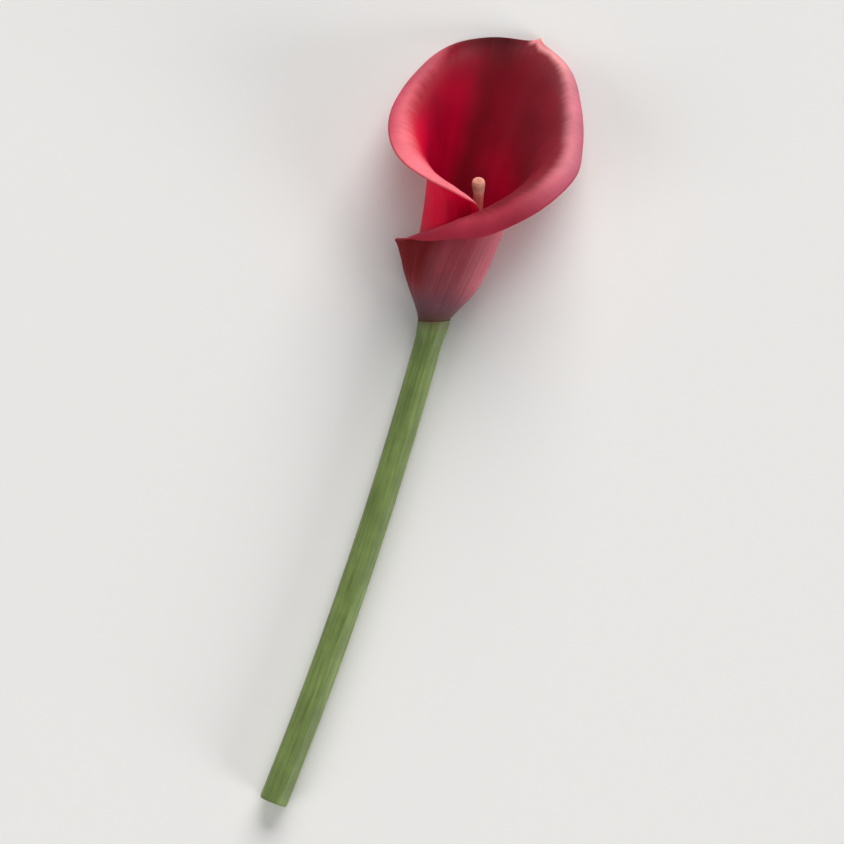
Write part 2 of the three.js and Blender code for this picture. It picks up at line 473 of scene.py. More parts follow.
def meridianAt(u):
    # a smooth curve through the meridians, u counted in meridians
    first = 2 * meridians[0] - meridians[1]
    last = 2 * meridians[-1] - meridians[-2]
    rows = np.vstack([first, meridians, last])
    i = np.clip(np.floor(u).astype(int), 0, lastMeridian - 1)
    t = (u - i)[..., None]
    before, a, b, after = rows[i], rows[i + 1], rows[i + 2], rows[i + 3]
    leaving, arriving = (b - before) / 2, (after - a) / 2
    curve = (2 * t**3 - 3 * t**2 + 1) * a + (t**3 - 2 * t**2 + t) * leaving
    curve = curve + (3 * t**2 - 2 * t**3) * b + (t**3 - t**2) * arriving
    return np.moveaxis(curve, -1, 0)


def bezier(t, start, leaving, arriving, end):
    near = (1 - t)**3 * start + 3 * (1 - t)**2 * t * leaving
    return near + 3 * (1 - t) * t * t * arriving + t**3 * end


def swellAt(height):
    rise = np.maximum(height, 0.0) / spathe["tubeSwellHeight"]
    return spathe["tubeSwell"] * (1 - np.exp(-(rise**1.5)))


def veinPlace(u, t):
    # vein coordinate in degrees: the veins leave the foot evenly and close in on the tail
    atFoot = meridianAt(u)[1]
    tail = spathe["tailAzimuth"]
    return tail + (atFoot - tail) * (1 + spathe["veinPull"] * t * t)


def spatheMiddle(u, t):
    # middle of the sheet: u counts the meridians, t goes from 0 at the foot to 1 at the margin
    atMargin, atFoot, height, radius, roll, reach = meridianAt(u)
    azimuth = np.radians(mix(atFoot, atMargin, t))
    step = eased(atFoot, *spathe["overlap"])
    ring = spathe["ringRadius"] + spathe["overlapStep"] * step
    fromTail = np.hypot(atMargin - spathe["tailAzimuth"], spathe["tailSoftness"] * (1 - t))
    tail = spathe["tailLength"] * np.exp(-fromTail / spathe["tailWidth"])
    tail = tail + spathe["tipLength"] * np.exp(-fromTail / spathe["tipWidth"])
    outward, upward = np.sin(np.radians(roll)), np.cos(np.radians(roll))
    wave = sum(size * np.sin(u * pace + start) for size, pace, start in spathe["rimWaves"])
    rim = radius - swellAt(height) + wave * spathe["rimWaveOut"]
    seat = bloom["seatSlant"] * ring * np.sin(np.radians(atFoot))
    rise = np.minimum(height * spathe["riseShare"], spathe["riseLimit"])
    rise = rise * (1 - spathe["freeShortening"] * eased(atFoot, *spathe["freeTurn"]))
    rimUp = height + tail * (spathe["tailUp"] + spathe["tailRoll"] * upward)
    rho = bezier(t, ring, ring + spathe["riseFlare"] * rise,
                 rim - reach * outward, rim + spathe["tailOut"] * tail * outward)
    up = bezier(t, seat, seat + rise, height - reach * upward, rimUp + wave * spathe["rimWaveUp"])
    collar = spathe["overlapStep"] * (eased(atFoot, *spathe["collar"]) - step)
    fromSeat = up - seat * (1 - t)
    full = rho + swellAt(fromSeat) + collar * np.exp(-(fromSeat / spathe["collarHeight"])**2)
    return inBloom(full * np.sin(azimuth), full * np.cos(azimuth), up)


def sheetReliefs(u, t):
    # slow waves left from when the sheet was rolled up, and the veins' own height
    vein = veinPlace(u, t)
    folds = sum(
        depth * np.sin(np.radians(vein * pace + start + lean * t))
        for depth, pace, start, lean in spathe["folds"]
    )
    folds = folds * eased(t, 0, 0.35) * (1 - 0.6 * eased(t, 0.8, 1.0))
    turn = vein / spathe["veinTurn"] + spathe["veinWander"] * np.sin(np.radians(vein * 11))
    ridge = np.exp(-((turn - np.round(turn)) / spathe["veinWidth"])**2)
    return folds, spathe["veinHeight"] * ridge * eased(t, 0, 0.12)


def spreadColumns():
    # stations along the margin, closer at the tail and at the two free edges
    u = np.linspace(0, lastMeridian, 6000)
    closer, reach = spathe["tailCrowding"]
    density = 1 + closer * np.exp(-((u - tailAt) / reach)**2)
    for side, fromEdge in (("innerCrowding", u), ("outerCrowding", lastMeridian - u)):
        closer, reach = spathe[side]
        density += closer * np.exp(-fromEdge / reach)
    total = np.concatenate([[0], np.cumsum((density[1:] + density[:-1]) / 2)])
    return np.interp(np.linspace(0, total[-1], spathe["columns"]), total, u)


def alongGrid(points, direction):
    # distance travelled over a grid of points in one direction
    steps = np.linalg.norm(np.diff(points, axis=direction), axis=-1)
    start = np.zeros_like(np.take(steps, [0], axis=direction))
    return np.cumsum(np.concatenate([start, steps], axis=direction), axis=direction)


def meshFromGrid(name, inner, outer):
    # two faces of a sheet that share their border, as one closed mesh
    columns, rows = inner.shape[:2]
    count = columns * rows
    index = np.arange(count).reshape(columns, rows)
    outerIndex = index.copy()
    outerIndex[1:-1, 1:-1] = count + np.arange((columns - 2) * (rows - 2)).reshape(columns - 2, rows - 2)

    def quads(grid, turned):
        a, b = grid[:-1, :-1], grid[1:, :-1]
        c, d = grid[1:, 1:], grid[:-1, 1:]
        corners = (a, d, c, b) if turned else (a, b, c, d)
        return np.stack([k.ravel() for k in corners], axis=-1)

    vertices = np.vstack([inner.reshape(-1, 3), outer[1:-1, 1:-1].reshape(-1, 3)])
    faces = np.vstack([quads(index, False), quads(outerIndex, True)])
    mesh = bpy.data.meshes.new(name)
    mesh.from_pydata((vertices * mm).tolist(), [], faces.tolist())
    mesh.update()
    return mesh


def spatheZones(azimuth, t, fromTop):
    # how much of each colour of the inner face shows, before the finish mixes them
    zones = spathe["zones"]

    def within(name):
        start, end = zones[name]
        return eased(azimuth, *start) * (1 - eased(azimuth, *end))

    fromBand = azimuth - mix(*zones["band"], t)
    band = np.exp(-(fromBand / np.where(fromBand < 0, *zones["bandWidth"]))**2)
    dusky = eased(azimuth, *zones["dusky"]) * eased(t, *zones["sheenRightRise"])
    flap = eased(azimuth, *zones["flap"])
    hidden = within("hidden")
    left = zones["lipLeft"] * mix(1.0, zones["lipHidden"], hidden)
    toRight = mix(zones["lipAtTip"], zones["lipRight"], eased(azimuth, *zones["lipNarrow"]))
    reach = mix(left, toRight, eased(azimuth, *zones["lipChange"]))
    reach = mix(zones["lipFree"], reach, eased(azimuth, *zones["lipFreeTo"]))
    soft = mix(*zones["lipSoft"], dusky)
    edgeReach = mix(zones["edgeWidth"], zones["flapEdgeWidth"], flap)
    return {
        "deep": np.maximum(band, hidden * eased(fromTop, *zones["topShade"])),
        "dusky": dusky,
        "flap": flap,
        "high": eased(azimuth, *zones["high"]),
        "lip": eased(fromTop / reach, zones["lipEnd"], zones["lipEnd"] - soft) * (1 - hidden),
        "lipEdge": eased(fromTop, edgeReach, 0) * within("turned"),
        "fold": eased(fromTop, zones["foldWidth"], 0) * within("dark"),
        "upper": eased(fromTop, *zones["upperReach"]) * within("upper"),
    }


def buildSpathe():
    u, x = np.meshgrid(spreadColumns(), np.linspace(0, 1, spathe["rows"]), indexing="ij")
    t = 1 - (1 - x)**spathe["rowCrowding"]
    middle = spatheMiddle(u, t)
    small = 1e-3
    uLow, uHigh = np.maximum(u - small, 0), np.minimum(u + small, lastMeridian)
    tLow, tHigh = np.maximum(t - small, 0), np.minimum(t + small, 1)
    along = spatheMiddle(uHigh, t) - spatheMiddle(uLow, t)
    rising = spatheMiddle(u, tHigh) - spatheMiddle(u, tLow)
    facing = np.cross(along, rising)
    facing /= np.linalg.norm(facing, axis=-1, keepdims=True)  # into the funnel

    fromFoot = alongGrid(middle, 1)
    fromTop = fromFoot[:, -1:] - fromFoot
    across = alongGrid(middle, 0)
    fromRim = np.minimum(fromTop, np.minimum(across, across[-1:] - across))
    fromBorder = np.minimum(fromRim, fromFoot * spathe["footSharpness"])
    tailColumn = int(np.argmin(np.abs(u[:, 0] - tailAt)))
    fromTail = np.linalg.norm(middle - middle[tailColumn, -1], axis=-1)

    folds, ridge = sheetReliefs(u, t)
    vein = veinPlace(u, t)
    radius = spathe["coneRadius"] + spathe["coneGrowth"] * np.linalg.norm(middle - foot, axis=-1)
    fromMidrib = np.abs(np.radians(vein - spathe["tailAzimuth"])) * radius
    crease = spathe["midribDepth"] * np.exp(-(fromMidrib / spathe["midribWidth"])**2)
    crease = crease * eased(t, 0, 0.3)

    wall = mix(spathe["footWall"], spathe["tubeWall"], eased(t, *spathe["tubeWallRise"]))
    wall = mix(wall, spathe["rimWall"], eased(t, *spathe["rimWallRise"]))
    inward = np.clip(fromBorder / spathe["edgeRound"], 0, 1)
    half = 0.5 * wall * np.sqrt(1 - (1 - inward)**2)
    ridge = ridge * eased(fromBorder, 0, spathe["veinCalm"])
    bend = (folds - crease) * eased(fromFoot, 0, spathe["foldCalm"])
    inner = middle + facing * (bend + half - spathe["veinInside"] * ridge)[..., None]
    outer = middle + facing * (bend - half - ridge)[..., None]

    # the rim and the tube flatten softly where they rest on the table, and keep their thickness
    for sheet in (inner, outer):
        above = sheet[..., 2] - spathe["restGap"]
        sheet[..., 2] = spathe["restGap"] + (above + np.hypot(above, spathe["restSoftness"])) / 2
    lift = np.maximum(0, outer[..., 2] + spathe["restWall"] * half - inner[..., 2])
    inner[..., 2] += lift * eased(outer[..., 2], spathe["restHeight"], 0)

    mesh = meshFromGrid("spatheSheet", inner, outer)

    def keep(name, onInner, onOuter):
        addValues(mesh, name, np.concatenate([onInner.ravel(), onOuter[1:-1, 1:-1].ravel()]))

    measures = spatheZones(meridianAt(u)[1], t, fromTop)
    measures.update(fromFoot=fromFoot, fromRim=fromRim, fromTail=fromTail, fromMidrib=fromMidrib)
    measures["vein"] = vein / 10
    for name, values in measures.items():
        keep(name, values, values)
    # 1 on the inner face and 0 on the outer one; the border has the outer colours at the foot
    side = 0.5 * eased(fromFoot, 0, spathe["innerFrom"])
    side[1:-1, 1:-1] = 1.0
    keep("inner", side, 0 * side)
    mesh.shade_smooth()
    return addObject("spatheRolled", mesh)


def makeSpatheFinish():
    look, fades = spathe["look"], spathe["fades"]
    material, tree, shader = newMaterial("spatheTissue")
    names = "fromFoot fromRim fromTail fromMidrib vein inner deep dusky flap lip lipEdge fold high upper"
    (fromFoot, fromRim, fromTail, fromMidrib, vein, inner,
     deep, dusky, flap, lip, lipEdge, fold, high, upper) = (
        fromMesh(tree, name)["Fac"] for name in names.split()
    )

    def faded(value, name):
        return ranged(tree, value, *fades[name])

    def over(under, share, name):
        return painted(tree, share, under, look[name])

    place = combined(tree, vein, inner, fromFoot)
    coarse = useGroup(tree, streaksGroup, {"Place": place, "Across": 2.2, "Along": 0.02, "Sharpness": 0.4})
    fine = useGroup(tree, streaksGroup, {"Place": place, "Across": 6.5, "Along": 0.03, "Sharpness": 0.3})

    # inside: crimson, with painted shade low in the funnel, up the middle, under the folded-back rim and
    # higher up the face, and a painted greyish sheen on the right
    inside = over(look["shadedThroat"], faded(fromFoot, "shadedThroat"), "inside")
    inside = over(inside, dusky, "dusky")
    inside = over(inside, times(tree, deep, look["shadeBandCover"]), "deep")
    inside = over(inside, times(tree, fold, look["foldShadeCover"]), "fold")
    inside = over(inside, faded(fromMidrib, "midrib"), "midrib")
    inside = scaled(tree, inside, calc(tree, "MULTIPLY_ADD", upper, -look["upperShadeDepth"], 1.0))

    # its pale lip, a painted highlight where the rolled rim catches the lamps, with painted shade on the
    # edge where it turns right over
    lipColour = over(look["lipLeft"], high, "lipHigh")
    lipColour = over(lipColour, dusky, "lipRight")
    lipColour = over(lipColour, faded(fromTail, "lipTail"), "lipTail")
    lipColour = over(lipColour, flap, "flap")
    edgeColour = over(look["lipEdge"], dusky, "lipEdgeShadeRight")
    edgeColour = over(edgeColour, flap, "flapEdge")
    lipColour = painted(tree, times(tree, lipEdge, look["lipEdgeShadeCover"]), lipColour, edgeColour)
    fray = calc(tree, "MULTIPLY_ADD", fine["Streak"], 0.5, coarse["Streak"])
    frayed = calc(tree, "MULTIPLY_ADD", calc(tree, "SUBTRACT", fray, 0.75), look["lipFray"], lip)
    inside = painted(tree, faded(frayed, "lip"), inside, lipColour)

    # outside: green-brown foot, dusty rose tube, crimson above that is partly its own colour and partly a
    # painted glow of light through the sheet; painted shade on the tube's left, painted sheen on its right
    length = look["outsideStops"][-1]
    outside = ramp(tree, calc(tree, "DIVIDE", fromFoot, length), [
        (height / length, look[name])
        for height, name in zip(look["outsideStops"], ("outsideFoot", "outsideLow", "outsideTube"))
    ])
    crimsonGlowColour = over(look["outsideCrimsonGlow"], faded(vein, "wrap"), "outsideWrap")
    outside = painted(tree, faded(fromFoot, "highRise"), outside, crimsonGlowColour)
    leftShadeShare = times(tree, faded(vein, "left"), faded(fromFoot, "leftRise"))
    outside = over(outside, leftShadeShare, "outsideLeftShade")
    rightSheenShare = times(tree, faded(vein, "right"), faded(vein, "front"), faded(fromFoot, "rightRise"))
    outside = over(outside, rightSheenShare, "outsideRightSheen")
    outside = over(outside, times(tree, fine["Streak"], faded(vein, "veins")), "vein")

    # both faces: streaks, the border and the dry tip
    colour = painted(tree, inner, outside, inside)
    colour = over(colour, times(tree, fine["Streak"], look["streakCover"]), "streak")
    colour = over(colour, times(tree, faded(fromRim, "edge"), faded(fromFoot, "edgeRise")), "edge")
    colour = over(colour, faded(fromTail, "tip"), "tip")
    mottled = useGroup(tree, mottleGroup, {"Color": colour, "Patch Size": 14.0, "Amount": 0.12})

    rough = calc(tree, "MULTIPLY_ADD", coarse["Streak"], look["streakRoughness"], look["roughness"])
    relief = calc(tree, "MULTIPLY_ADD", mottled["Grain"], 0.15, fine["Height"])
    fill(tree, shader, {
        "Base Color": mottled["Color"],
        "Roughness": calc(tree, "MULTIPLY_ADD", fold, look["foldRoughness"], rough),
        "Normal": bumped(tree, relief, look["relief"]),
        "Specular IOR Level": look["gloss"],
        "Subsurface Weight": 0.6,
        "Subsurface Radius": (1.0, 0.1, 0.14),
        "Subsurface Scale": 1.6 * mm,
    })
    return material


spathePiece = buildSpathe()
spathePiece.data.materials.append(makeSpatheFinish())
print("spathe rolled:", len(spathePiece.data.polygons), "faces")


# pieces swept along a path by Geometry Nodes

def sampleCurve(tree, curve, share):
    # place, directions and thickness at a share of the curve's length
    thick = addNode(tree, "GeometryNodeInputNamedAttribute", {"Name": "thick"}, data_type="FLOAT")
    return addNode(tree, "GeometryNodeSampleCurve", {
        "Curves": curve, "Value": thick.outputs[0], "Factor": share,
    }, data_type="FLOAT", mode="FACTOR", use_all_curves=True).outputs


def stored(tree, geometry, name, value, kind="FLOAT"):
    return addNode(tree, "GeometryNodeStoreNamedAttribute", {
        "Geometry": geometry, "Name": name, "Value": value,
    }, data_type=kind, domain="POINT").outputs[0]


def moved(tree, geometry, place):
    return addNode(tree, "GeometryNodeSetPosition", {"Geometry": geometry, "Position": place}).outputs[0]


def randomValue(tree, low, high, seed):
    made = addNode(tree, "FunctionNodeRandomValue", {2: low, 3: high, "Seed": seed}, data_type="FLOAT")
    return made.outputs[1]


def sunflower(tree, count):
    # loose points, the share of the spiral at which each stands, and its turn
    dots = addNode(tree, "GeometryNodePoints", {"Count": count}).outputs[0]
    index = addNode(tree, "GeometryNodeInputIndex").outputs[0]
    share = calc(tree, "DIVIDE", calc(tree, "ADD", index, 0.5), count)
    return dots, share, times(tree, index, goldenTurn)


def addBeads(tree, bar, beads, given, result):
    # the bar and its beads as one smooth mesh with its material
    placed = addNode(tree, "GeometryNodeInstanceOnPoints", beads).outputs[0]
    joined = addNode(tree, "GeometryNodeJoinGeometry")
    for part in (placed, bar):
        tree.links.new(part, joined.inputs[0])
    real = addNode(tree, "GeometryNodeRealizeInstances", {0: joined.outputs[0]}).outputs[0]
    soft = addNode(tree, "GeometryNodeSetShadeSmooth", {"Geometry": real}).outputs[0]
    coated = addNode(tree, "GeometryNodeSetMaterial", {"Geometry": soft, "Material": given["Material"]})
    fill(tree, result, {"Geometry": coated.outputs[0]})


def makeSweepGroup():
    # bends a round bar with closed ends along a path, whose points carry their own thickness
    tree, given, result = addGroup("sweepAlongPath", "GeometryNodeTree", [
        ("Path", "Geometry"),
        ("Sides", "Int", 48),
        ("Rings", "Int", 120),
        ("Cap Rings", "Int", 6),
        ("Crowding", "Float", 0.5),
        ("Ridges", "Int", 0),
        ("Ridge Depth", "Float", 0.0),
        ("Dish", "Float", 0.0),
        ("Top Slant", "Vector", (0.0, 0.0, 0.0)),
    ], [("Mesh", "Geometry"), ("Curve", "Geometry")])
    curve = addNode(tree, "GeometryNodeMeshToCurve", {0: given["Path"]}).outputs[0]
    bar = addNode(tree, "GeometryNodeMeshCylinder", {
        "Vertices": given["Sides"], "Side Segments": given["Rings"],
        "Fill Segments": given["Cap Rings"], "Radius": 1.0, "Depth": 1.0,
    }, fill_type="TRIANGLE_FAN").outputs["Mesh"]
    parts = separated(tree, addNode(tree, "GeometryNodeInputPosition").outputs[0])

    # the rings crowd towards both ends of the bar
    share = calc(tree, "ADD", parts[2], 0.5, clamp=True)
    pull = times(tree, calc(tree, "SINE", times(tree, share, math.tau)), given["Crowding"])
    share = calc(tree, "SUBTRACT", share, calc(tree, "DIVIDE", pull, math.tau), clamp=True)

    sample = sampleCurve(tree, curve, share)
    side = vectorCalc(tree, "CROSS_PRODUCT", sample["Tangent"], sample["Normal"])
    wave = calc(tree, "COSINE", times(tree, calc(tree, "ARCTAN2", parts[1], parts[0]), given["Ridges"]))
    radius = calc(tree, "MULTIPLY_ADD", wave, given["Ridge Depth"], sample["Value"])
    offset = summed(
        tree, scaled(tree, sample["Normal"], times(tree, parts[0], radius)),
        scaled(tree, side, times(tree, parts[1], radius)),
    )
    # the end is dished, and the start stands at a slant
    hollow = calc(tree, "SUBTRACT", 1.0, squared(tree, fromMiddle(tree, parts)), clamp=True)
    dish = times(tree, hollow, calc(tree, "GREATER_THAN", share, 0.9999), given["Dish"])
    slant = vectorCalc(tree, "DOT_PRODUCT", offset, given["Top Slant"])
    slant = times(tree, slant, ranged(tree, share, 0.02, 0.0))
    sunk = scaled(tree, sample["Tangent"], calc(tree, "ADD", dish, slant))
    place = vectorCalc(tree, "SUBTRACT", summed(tree, sample["Position"], offset), sunk)
    # the bar's own straight coordinates stay with it, for the finish
    bar = stored(tree, bar, "barPlace", combined(tree, parts[0], parts[1], share), "FLOAT_VECTOR")
    fill(tree, result, {"Mesh": moved(tree, bar, place), "Curve": curve})
    return tree


sweepGroup = makeSweepGroup()


def addGrowth(name, inputs):
    inputs = [("Geometry", "Geometry"), *inputs, ("Material", "Material")]
    return addGroup(name, "GeometryNodeTree", inputs, [("Geometry", "Geometry")])


def growAlong(name, points, thickness, tree, inputs, material):
    # runs a tree on a polyline whose points carry their thickness, and keeps the result as a mesh
    settings = {"Material": material, **{label: value for label, holds, value in inputs}}
    path = bpy.data.meshes.new(name + "Path")
    path.from_pydata((points * mm).tolist(), [(k, k + 1) for k in range(len(points) - 1)], [])
    addValues(path, "thick", thickness * mm)
    carrier = addObject(name + "Path", path)
    modifier = carrier.modifiers.new("grow", "NODES")
    modifier.node_group = tree
    for item in tree.interface.items_tree:
        if item.in_out == "INPUT" and item.name in settings:
            modifier[item.identifier] = settings[item.name]
    grown = carrier.evaluated_get(bpy.context.evaluated_depsgraph_get())
    mesh = bpy.data.meshes.new_from_object(grown)
    mesh.name = name + "Mesh"
    if mesh.materials[0] is None:  # the tree leaves an empty first slot
        mesh.materials.pop(index=0)
    carrier.modifiers.remove(modifier)
    bpy.data.objects.remove(carrier)
    return addObject(name, mesh)


# the stem, cut off below

stem = {
    "length": 185,
    "topRadius": 5.78,
    "neckRadius": 4.9,
    "neckLength": 9,
    "cutRadius": 5.2,
    "turn": 7,  # change of heading along the stem
    "seatGap": 0.06,
    "seatRise": 0.35,  # how far it reaches up into the spathe's base
    "seatNarrow": 0.86,  # radius there, as a share of the top's
    "seatLength": 1.5,  # over which it leaves the bloom's axis
    "bevel": 0.35,
    "bevelDepth": 0.05,  # as a share of the radius
    "stations": 220,
    "sides": 72,
    "rings": 130,
    "capRings": 14,
    "crowding": 0.93,
    "ridges": 13,
    "ridgeDepth": 0.012,
    "dish": 0.35,
    "fibres": 46,
    "fibreSize": 0.2,
    "fibreRange": (0.7, 1.25),
    "fibreSpread": 0.79,  # how far out they reach, as a share of the cut's radius
    "fibreJitter": 0.035,
    "seed": 3,
    "green": rgb(110, 130, 66),
    "dark": rgb(62, 80, 26),
    "darkCover": 0.55,
    "pale": rgb(152, 170, 110),
    "paleCover": 0.26,
    "blush": rgb(92, 60, 52),
    "blushFade": (0.025, 0.0, 0.0, 0.5),  # shares of the length, and of the colour
    "pith": rgb(206, 214, 168),
    "pithEdge": (0.75, 0.93),  # shares of the radius between which it turns to skin
    "fibre": rgb(132, 150, 80),
    # painted shade: the seat's dark crimson at the bottom of the funnel
    "seat": rgb(96, 4, 20),
    "seatEnd": 0.0021,  # share of the length that is the seat
    "roughness": 0.44,
    "gloss": 0.35,
    "relief": 0.05,
}
stemInputs = [
    ("Sides", "Int", stem["sides"]),
    ("Rings", "Int", stem["rings"]),
    ("Cap Rings", "Int", stem["capRings"]),
    ("Crowding", "Float", stem["crowding"]),
    ("Ridges", "Int", stem["ridges"]),
    ("Ridge Depth", "Float", stem["ridgeDepth"] * mm),
    ("Dish", "Float", stem["dish"] * mm),
    ("Top Slant", "Vector", tuple(right * bloom["seatSlant"])),
    ("Fibres", "Int", stem["fibres"]),
    ("Fibre Size", "Float", stem["fibreSize"] * mm),
    ("Cut Radius", "Float", stem["cutRadius"] * mm),
    ("Seed", "Int", stem["seed"]),
]


def stemPath():
    # leaves the bloom along its axis and settles on the table
    lift = bloom["foot"][2] - stem["topRadius"]
    settle = 2 * lift / math.tan(riseAngle)
    s = np.linspace(0, 1, stem["stations"])
    fromTop = s * stem["length"]
    heading = np.radians(bloom["lean"] + stem["turn"] * s)
    step = stem["length"] / (stem["stations"] - 1)
    start = foot - stem["seatGap"] * axis
    ways = np.stack([np.sin(heading), np.cos(heading)], axis=-1) * step
    plan = start[:2] - np.vstack([[0, 0], np.cumsum(ways[:-1], axis=0)])
    radius = mix(stem["neckRadius"], stem["cutRadius"], s)
    radius = mix(radius, stem["topRadius"], eased(fromTop, stem["neckLength"], 0))
    height = radius + stem["ridgeDepth"] + lift * np.maximum(0, 1 - fromTop / settle)**2
    height = mix(height, start[2], eased(fromTop, stem["seatLength"], 0))
    centres = np.column_stack([plan, height])
    centres = np.vstack([start + (stem["seatGap"] + stem["seatRise"]) * axis, centres])
    thick = np.concatenate([[stem["topRadius"] * stem["seatNarrow"]], radius])
    fromCut = np.concatenate([[stem["length"]], stem["length"] - fromTop])
    return centres, thick * (1 - stem["bevelDepth"] * eased(fromCut, stem["bevel"], 0))


def makeStemTree():
    tree, given, result = addGrowth("stemGrowth", stemInputs)
    passedOn = ("Sides", "Rings", "Cap Rings", "Crowding", "Ridges", "Ridge Depth", "Dish", "Top Slant")
    swept = useGroup(tree, sweepGroup, {
        "Path": given["Geometry"], **{name: given[name] for name in passedOn},
    })
    # ends of the fibre bundles, in a sunflower pattern on the cut
    dots, share, turn = sunflower(tree, given["Fibres"])
    jitter = randomValue(tree, -stem["fibreJitter"], stem["fibreJitter"], given["Seed"])
    spread = calc(tree, "ADD", times(tree, calc(tree, "SQRT", share), stem["fibreSpread"]), jitter)
    end = sampleCurve(tree, swept["Curve"], 1.0)
    side = vectorCalc(tree, "CROSS_PRODUCT", end["Tangent"], end["Normal"])
    reach = times(tree, spread, given["Cut Radius"])
    across = scaled(tree, end["Normal"], times(tree, reach, calc(tree, "COSINE", turn)))
    aside = scaled(tree, side, times(tree, reach, calc(tree, "SINE", turn)))
    hollow = calc(tree, "SUBTRACT", 1.0, squared(tree, spread))
    sunk = scaled(tree, end["Tangent"], times(tree, hollow, given["Dish"]))
    spot = vectorCalc(tree, "SUBTRACT", summed(tree, end["Position"], across, aside), sunk)
    bead = addNode(tree, "GeometryNodeMeshUVSphere", {
        "Segments": 8, "Rings": 5, "Radius": given["Fibre Size"],
    }).outputs[0]
    addBeads(tree, swept["Mesh"], {
        "Points": moved(tree, dots, spot),
        "Instance": stored(tree, bead, "fibre", 1.0),
        "Scale": randomValue(tree, *stem["fibreRange"], given["Seed"]),
    }, given, result)
    return tree


def makeStemFinish():
    material, tree, shader = newMaterial("stemSkin")
    place = fromMesh(tree, "barPlace")["Vector"]
    parts = separated(tree, place)
    spread = fromMiddle(tree, parts)
    coarse = useGroup(tree, streaksGroup, {"Place": place, "Across": 4.0, "Along": 6.0, "Sharpness": 0.2})
    fine = useGroup(tree, streaksGroup, {"Place": place, "Across": 26.0, "Along": 14.0, "Sharpness": 0.4})
    darkShare = times(tree, coarse["Streak"], stem["darkCover"])
    colour = painted(tree, darkShare, stem["green"], stem["dark"])
    colour = painted(tree, times(tree, fine["Streak"], stem["paleCover"]), colour, stem["pale"])
    colour = painted(tree, ranged(tree, parts[2], *stem["blushFade"]), colour, stem["blush"])
    # the cut end: pale pith inside a green skin, with fibre ends
    inSkin = calc(tree, "LESS_THAN", spread, stem["pithEdge"][1])
    cutShare = times(tree, calc(tree, "GREATER_THAN", parts[2], 0.9995), inSkin)
    pith = painted(tree, ranged(tree, spread, *stem["pithEdge"]), stem["pith"], stem["pale"])
    colour = painted(tree, cutShare, colour, pith)
    # inside the tube the seat of the spathe takes the funnel's crimson, darkened as painted shade at its
    # bottom
    seatShare = calc(tree, "LESS_THAN", parts[2], stem["seatEnd"])
    colour = painted(tree, seatShare, colour, stem["seat"])
    colour = painted(tree, fromMesh(tree, "fibre")["Fac"], colour, stem["fibre"])
    mottled = useGroup(tree, mottleGroup, {
        "Color": colour, "Patch Size": 11.0, "Cell Size": 0.3, "Amount": 0.14,
    })
    rough = calc(tree, "MULTIPLY_ADD", fine["Streak"], 0.12, stem["roughness"])
    height = calc(tree, "MULTIPLY_ADD", mottled["Grain"], 0.2, fine["Height"])
    fill(tree, shader, {
        "Base Color": mottled["Color"],
        "Roughness": calc(tree, "MAXIMUM", rough, seatShare),
        "Normal": bumped(tree, height, stem["relief"]),
        "Specular IOR Level": stem["gloss"],
        "Subsurface Weight": 0.1,
        "Subsurface Radius": (0.5, 0.8, 0.2),
        "Subsurface Scale": 1.5 * mm,
    })
    return material


stemPiece = growAlong("stemCut", *stemPath(), makeStemTree(), stemInputs, makeStemFinish())
print("stem grown:", len(stemPiece.data.polygons), "faces")


# the spadix: a column of florets, thicker at its head

spadix = {
    "length": 54.6,
    "radius": 2.62,
    "shaftRadius": 1.85,
    "headLength": 7.5,
    "domeShare": 0.045,  # share of the length that is the rounded end
    "sway": 5.2,
    "tipShift": 2.2,
    "coreShare": 0.9,  # radius of the bar under the florets, as a share
    "sides": 24,
    "rings": 90,
    "capRings": 2,
    "florets": 2500,
    "floretSize": 0.35,
    "floretRange": (0.86, 1.12),
    "floretHeight": 0.8,
    "floretAtTip": 0.7,  # size at the very tip
    "faceForwards": (0.93, 0.96),  # shares of the length over which the florets turn forwards
    "stations": 160,
    "seed": 7,
    "crown": rgb(255, 188, 164),
    # painted shade between the florets
    "floretGapShade": rgb(249, 134, 118),
    # painted reflection of the red walls, with painted shade, on the lower shaft
    "low": rgb(192, 44, 46),
    "lowReflectionFade": (0.95, 0.84, 0.0, 0.85),  # shares of the length, and of the colour
    "roughness": 0.6,
    "relief": 0.02,
}
spadixInputs = [
    ("Sides", "Int", spadix["sides"]),
    ("Rings", "Int", spadix["rings"]),
    ("Cap Rings", "Int", spadix["capRings"]),
    ("Full Radius", "Float", spadix["radius"] * spadix["coreShare"] * mm),
    ("Florets", "Int", spadix["florets"]),
    ("Floret Size", "Float", spadix["floretSize"] * mm),
    ("Seed", "Int", spadix["seed"]),
]


def spadixPath():
    s = 1 - (1 - np.linspace(0, 1, spadix["stations"]))**1.3
    sway = spadix["sway"] * np.sin(math.pi * s**1.25) + spadix["tipShift"] * s**3
    centres = inBloom(sway, 0 * s, spadix["length"] * s)
    intoDome = np.clip(s - (1 - spadix["domeShare"]), 0, 1) / spadix["domeShare"]
    dome = np.sqrt(np.clip(1 - intoDome**2, 0, 1))
    head = eased((1 - s) * spadix["length"], spadix["headLength"], 0)
    radius = mix(spadix["shaftRadius"], spadix["radius"], head) * np.maximum(dome, 0.02)
    return centres, radius * spadix["coreShare"]


